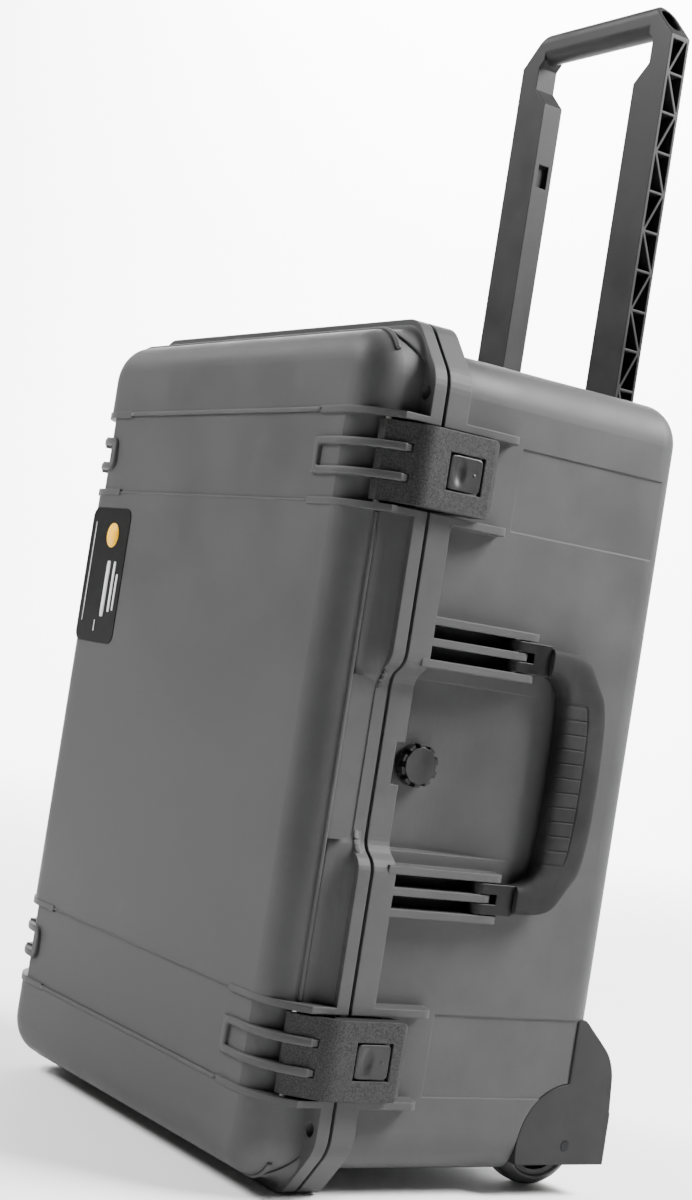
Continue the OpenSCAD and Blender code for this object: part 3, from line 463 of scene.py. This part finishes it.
class CASE_OT_lid_rim(bpy.types.Operator):
    """Builds the flare between the lid's wall and its flange, and the bead above it, between the bays."""
    bl_idname = "case.lid_rim"
    bl_label = "Lid rim"

    def execute(self, context):
        shell = bpy.data.materials["moulded_polypropylene_shell"]
        n = 2400
        outer = flange_outline(0.25, n, 40)
        # the wall's line: a rounded rectangle, one quarter arc after the other
        w, h, r = 1000 * SHELL_X + 0.6, 1000 * MID_Z - 9.4, 27
        arcs = []
        for quarter, (x, z) in enumerate(((1, 1), (-1, 1), (-1, -1), (1, -1))):
            t = np.linspace(quarter * np.pi / 2, quarter * np.pi / 2 + np.pi / 2, 40)
            arcs.append(np.array([x * (w - r), z * (h - r)]) + circle_points(r, t))
        wall = spaced(np.vstack(arcs), 6000, closed=True)
        # nearest wall point for each outer point
        inner = wall[np.argmin(((outer[:, None, :] - wall[None, :, :]) ** 2).sum(-1), axis=1)]
        inner = smoothed(inner, 30)
        # at the handle's recess the flange meets the wall, so the inner line stays 2 mm inside the outer one
        near = (outer[:, 0] > 0) & (np.abs(outer[:, 1]) < 75)
        inner[:, 0] = np.where(near, np.minimum(inner[:, 0], outer[:, 0] - 2.0), inner[:, 0])
        # profile: s runs from the flange's edge (0) to the wall (1), and the depth below the parting plane, mm,
        # follows a quarter-ellipse cove from 9.0 to 25.5
        s = np.r_[0, 0, np.linspace(0, 1, 26), 1.02, 1.1]
        depth = 9.0 + 16.5 * (1 - np.sqrt(np.clip(1 - s ** 2, 0, 1)))
        depth[:2] = 5.0, 9.4
        depth[-2:] = 27.5
        # the cove fades out towards the flat corners with the padlock holes: smooth step of |z| over 24 mm
        bay = 1000 * BAY_Z
        x, z = np.abs(outer).T
        fade = np.clip((z - PADLOCK_TOP) / 24, 0, 1)
        fade = np.where((z < bay) | (x < 150), 1, fade ** 2 * (3 - 2 * fade))
        plan = outer[:, None, :] * (1 - s[None, :, None]) + inner[:, None, :] * s[None, :, None]
        flat = 9.5
        cove = np.where(depth > flat, flat + (depth - flat) * fade[:, None], depth)
        grid = np.stack([plan[..., 0], -cove, plan[..., 1]], -1)
        # the flange stays flat in the bays and round the padlock holes
        side = 1000 * SHELL_X - 3
        in_bay = (x > side) & (z > bay - BAY_HALF) & (z < PADLOCK_TOP)
        parts = []
        for rows in kept_runs(~in_bay):
            run = grid[rows]
            floor = run[:, ::-1].copy()
            floor[..., 1] = -4.0
            ring = np.concatenate([run, floor[:, [0, -1]]], axis=1)
            parts.append(surface("rim_run", place(ring), wrap_u=True, caps=True))
        rim = joined("lid_rim_flare", parts)
        rim.data.materials.append(shell)
        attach(rim, "lid")

        # bead: a half ellipse carried along the wall, 28.6 mm from the parting plane
        t = np.linspace(0, np.pi, 9)
        bead_y, bead_w, bead_h = -28.6, 1.4, 1.1
        line = wall[::5]
        away = np.roll(line, -1, 0) - np.roll(line, 1, 0)
        away = np.stack([away[:, 1], -away[:, 0]], 1)
        away /= np.linalg.norm(away, axis=1)[:, None]
        rise = np.r_[bead_h * np.sin(t), -1.5, -1.5] - 0.6
        across = np.r_[bead_w * np.cos(t), -bead_w, bead_w]
        ring = np.stack(np.broadcast_arrays(line[:, None, 0] + away[:, None, 0] * rise, bead_y + across[None],
                                            line[:, None, 1] + away[:, None, 1] * rise), -1)
        x, z = np.abs(line).T
        in_bay = (x > side) & (z > bay - BAY_HALF)
        bead = joined("lid_bead", [surface("bead_run", place(ring[rows]), wrap_u=True, caps=True)
                                   for rows in kept_runs(~in_bay)])
        bead.data.materials.append(shell)
        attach(bead, "lid")
        return {"FINISHED"}


class CASE_OT_lid_trim(bpy.types.Operator):
    """Builds the rounded loops of the bays and the fine ridges over the lid's face."""
    bl_idname = "case.lid_trim"
    bl_label = "Lid trim"

    def execute(self, context):
        shell = bpy.data.materials["moulded_polypropylene_shell"]
        # section of a loop: superellipse of power 4, 5 mm across
        t = np.linspace(0, 2 * np.pi, 32, endpoint=False)
        section = 2.5 * np.stack([power(np.cos(t), 0.5), power(np.sin(t), 0.5)], 1)
        mid_x, mid_y, arc_r, bar_z, bend_r = 150, 2, 48.5, 9.0, 4
        parts = []
        for side, start, tip in ((1, 129.5, 191.2), (-1, 149.0, 185.0)):
            # an arc about (mid_x, mid_y), a straight run over the face, then a rounded turn to the other bar
            last = np.arccos((tip - mid_x) / arc_r)
            a = np.linspace(last, np.pi / 2, 40)
            arc = np.stack([mid_x + arc_r * np.cos(a), mid_y - arc_r * np.sin(a), np.full(40, bar_z)], 1)
            outwards = np.stack([np.cos(a), -np.sin(a), 0 * a], 1)
            q = np.linspace(0, np.pi / 2, 12)
            run = max(mid_x - start - 5, 0.5)
            turn = np.stack([mid_x - run - bend_r * np.sin(q), np.full(12, mid_y - arc_r),
                             bar_z - bend_r + bend_r * np.cos(q)], 1)
            half = np.vstack([arc, turn])
            rise = np.vstack([outwards, np.tile([0.0, -1.0, 0.0], (12, 1))])
            path = np.vstack([half, half[::-1] * [1, 1, -1]])
            up = np.vstack([rise, rise[::-1]])
            across = np.cross(np.gradient(path, axis=0), up)
            across /= np.linalg.norm(across, axis=1)[:, None]
            for bay in (1000 * BAY_Z, -1000 * BAY_Z):
                grid = swept(path, section, across, up) * [side, 1, 1] + [0, 0, bay]
                parts.append(surface("loop", place(grid), wrap_u=True, caps=True))
        # ridges: half ellipses w wide and h high, laid across the face where the bands end
        x = np.linspace(-128, 128, 60)
        b = np.linspace(0, np.pi, 9)
        face_y, sink = -47.5, -0.9
        for z, w, h in ((206.2, 1.5, 0.95), (149.9, 0.7, 0.4)):
            for s in (1, -1):
                aside = np.r_[w * np.cos(b), -w, w]
                proud = np.r_[h * np.sin(b), sink, sink]
                grid = np.stack(np.broadcast_arrays(x[:, None], face_y - proud[None], s * z + aside[None]), -1)
                parts.append(surface("ridge", place(grid), wrap_u=True, caps=True))
        trim = joined("lid_loops_and_ridges", parts)
        trim.data.materials.append(shell)
        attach(trim, "lid")
        return {"FINISHED"}


class CASE_OT_tyres(bpy.types.Operator):
    """Builds the two tyres, each a crowned ring with two fine grooves."""
    bl_idname = "case.tyres"
    bl_label = "Tyres"

    def execute(self, context):
        # cast polyurethane tread: dull near-black, scuffed lighter on the crown
        rubber = moulded("cast_polyurethane_tyre", "#222222", "#303030", 0.6, 1.2, 0.5, 12, 0.4, ior=1.5, specular=0.4)
        for side in ("left", "right"):
            low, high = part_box("wheel_tyre_" + side)
            x_mid, half = (low.x + high.x) / 2, (high.x - low.x) / 2
            y_mid, z_mid = (low.y + high.y) / 2, (low.z + high.z) / 2
            radius = (high.z - low.z) / 2
            # across the tread, s from -1 to 1: radius = full radius - 6.5 mm |s|^4, less two 0.6 mm grooves at
            # |s| = 0.45; the inside is a plain cylinder 8 mm further in
            s = np.linspace(-1, 1, 41)
            crown = radius - 0.0065 * np.abs(s) ** 4 - 0.0006 * np.exp(-((np.abs(s) - 0.45) / 0.05) ** 2)
            r = np.concatenate([crown, np.full(5, radius - 0.008)])
            x = np.concatenate([s, np.linspace(1, -1, 5) * 0.88])
            a = np.linspace(0, 2 * np.pi, 128, endpoint=False)
            y, z = y_mid + r * np.cos(a)[:, None], z_mid + r * np.sin(a)[:, None]
            grid = np.stack(np.broadcast_arrays(x_mid + half * x[None, :], y, z), -1)
            tyre = surface("tyre_" + side, grid, wrap_u=True, wrap_v=True)
            tyre.data.materials.append(rubber)
            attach(tyre, "wheel_" + side)
            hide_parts("wheel_tyre_" + side)
        return {"FINISHED"}


class CASE_OT_springs(bpy.types.Operator):
    """Builds the coil spring under each latch button."""
    bl_idname = "case.springs"
    bl_label = "Button springs"

    def execute(self, context):
        # drawn spring wire: fine bright turns under the button
        wire = metal("spring_steel_wire", "#a5a6a8", 0.3, 0.3)
        turns = context.scene.case_settings.coil_turns
        for side in ("upper", "lower"):
            low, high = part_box("button_spring_" + side)
            # a helix along x: the wire's radius is left free at either end
            coil_r, wire_r = 0.0042, 0.0004
            t = np.linspace(0, 1, 240)
            a = 2 * np.pi * turns * t
            x = low.x + wire_r + (high.x - low.x - 2 * wire_r) * t
            path = np.stack([x, (low.y + high.y) / 2 + coil_r * np.cos(a),
                             (low.z + high.z) / 2 + coil_r * np.sin(a)], 1)
            radial = np.stack([0 * a, np.cos(a), np.sin(a)], 1)
            along = np.tile([1.0, 0.0, 0.0], (len(t), 1))
            section = circle_points(wire_r, np.linspace(0, 2 * np.pi, 10, endpoint=False))
            grid = swept(path, section, radial, along)
            coil = surface("button_coil_" + side, grid, wrap_u=True, caps=True)
            coil.data.materials.append(wire)
            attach(coil, "latch_" + side)
            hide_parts("button_spring_" + side)
        return {"FINISHED"}


class CASE_OT_stage(bpy.types.Operator):
    """Pale curved floor, soft studio lights and the camera."""
    bl_idname = "case.stage"
    bl_label = "Stage"

    def execute(self, context):
        scene = context.scene
        # floor that curves up into a wall: at distance d ahead of the camera's line the height is 0 until 3 m,
        # then an arc of 2 m radius, then a straight wall
        d = np.linspace(-6, 9, 160)
        arc = 2 - np.sqrt(np.clip(4 - (d - 3) ** 2, 0, None))
        rise = np.where(d < 3, 0, np.where(d < 5, arc, 2 + (d - 5) * 1.5))
        ahead = np.array([-0.829, 0.559])
        aside = np.array([0.559, 0.829])
        w = np.linspace(-9, 9, 30)
        flat = ahead[None, None] * np.minimum(d, 5)[None, :, None] + aside[None, None] * w[:, None, None]
        # 0.5 mm under the wheels, so that nothing lies in the floor's own plane
        grid = np.concatenate([flat, np.broadcast_to(rise[None, :, None], (30, 160, 1)) - 0.0005], -1)
        floor = surface("studio_floor", grid)
        # matt paper roll: almost white, with very faint clouds
        paper = bpy.data.materials.new("matt_backdrop_paper")
        paper.use_nodes = True
        tree = paper.node_tree
        where = add(tree, "ShaderNodeTexCoord")
        tone = add(tree, "ShaderNodeTexNoise", {"Scale": 2.0, "Detail": 2.0}, {"Vector": (where, "Object")})
        mix = add(tree, "ShaderNodeMix", {"data_type": "RGBA"}, {0: (tone, "Fac")})
        mix.inputs[6].default_value = linear("#efefef")
        mix.inputs[7].default_value = linear("#f3f3f3")
        tree.links.new(mix.outputs[2], tree.nodes["Principled BSDF"].inputs["Base Color"])
        tree.nodes["Principled BSDF"].inputs["Roughness"].default_value = 0.9
        floor.data.materials.append(paper)

        world = bpy.data.worlds.new("studio_world")
        world.use_nodes = True
        sky = world.node_tree.nodes["Background"]
        sky.inputs["Color"].default_value = (1, 1, 1, 1)
        sky.inputs["Strength"].default_value = 0.1
        scene.world = world
        # each softbox: where it stands and what it aims at, m, its size, m, and its power, W
        for name, spot, target, size, watts in (
                ("wall_softbox", (0.8, 1.0, 1.5), (0.15, 0.1, 0.55), 0.8, 145),
                ("lid_softbox", (-1.8, -1.9, 2.5), (0, 0, 0.35), 1.2, 245),
                ("top_softbox", (-0.5, 0.7, 3.0), (0, 0, 0.35), 1.5, 4),
                ("backdrop_softbox", (-2.6, 1.9, 3.2), (-4.6, 3.1, 0.8), 2.5, 900)):
            data = bpy.data.lights.new(name, "AREA")
            data.size = size
            data.energy = watts
            lamp = bpy.data.objects.new(name, data)
            aim = np.array(target) - np.array(spot)
            back = -aim / np.linalg.norm(aim)
            right = np.cross([0, 0, 1], back)
            right /= np.linalg.norm(right)
            up = np.cross(back, right)
            lamp.matrix_world = standing(right, up, back, spot)
            scene.collection.objects.link(lamp)

        data = bpy.data.cameras.new("camera")
        data.sensor_fit = "AUTO"
        data.sensor_width = 36
        data.lens = 62.19
        data.shift_x = -0.0328
        data.shift_y = 0.0367
        data.clip_end = 50
        camera = bpy.data.objects.new("camera", data)
        right = np.array([0.5536, 0.8180, 0.1561])
        back = np.array([0.8290, -0.5591, -0.0102])
        right /= np.linalg.norm(right)
        up = np.cross(back, right)
        up /= np.linalg.norm(up)
        back = np.cross(right, up)
        spot = np.array([1.2094, -0.7039 + PART_Y, 0.3265])
        camera.matrix_world = standing(right, up, back, spot)
        scene.collection.objects.link(camera)
        scene.camera = camera
        return {"FINISHED"}


class CASE_PT_panel(bpy.types.Panel):
    """Lists the case's operators and settings."""
    bl_idname = "CASE_PT_panel"
    bl_label = "Equipment case"
    bl_space_type = "VIEW_3D"
    bl_region_type = "UI"
    bl_category = "Case"

    def draw(self, context):
        for key in CaseSettings.__annotations__:
            self.layout.prop(context.scene.case_settings, key)
        for kind in OPERATORS:
            self.layout.operator(kind.bl_idname)


OPERATORS = (CASE_OT_stage, CASE_OT_finishes, CASE_OT_label, CASE_OT_buttons, CASE_OT_lid_rim, CASE_OT_lid_trim,
             CASE_OT_soft_grip, CASE_OT_tyres, CASE_OT_springs)
CLASSES = (CaseSettings, *OPERATORS, CASE_PT_panel)


def register():
    for kind in CLASSES:
        bpy.utils.register_class(kind)
    bpy.types.Scene.case_settings = bpy.props.PointerProperty(type=CaseSettings)


def unregister():
    del bpy.types.Scene.case_settings
    for kind in reversed(CLASSES):
        bpy.utils.unregister_class(kind)


def main():
    register()
    bpy.ops.case.stage()
    bpy.ops.case.finishes()
    bpy.ops.case.label()
    bpy.ops.case.buttons()
    bpy.ops.case.lid_rim()
    bpy.ops.case.lid_trim()
    bpy.ops.case.soft_grip()
    bpy.ops.case.tyres()
    bpy.ops.case.springs()


if __name__ == "__main__":
    main()
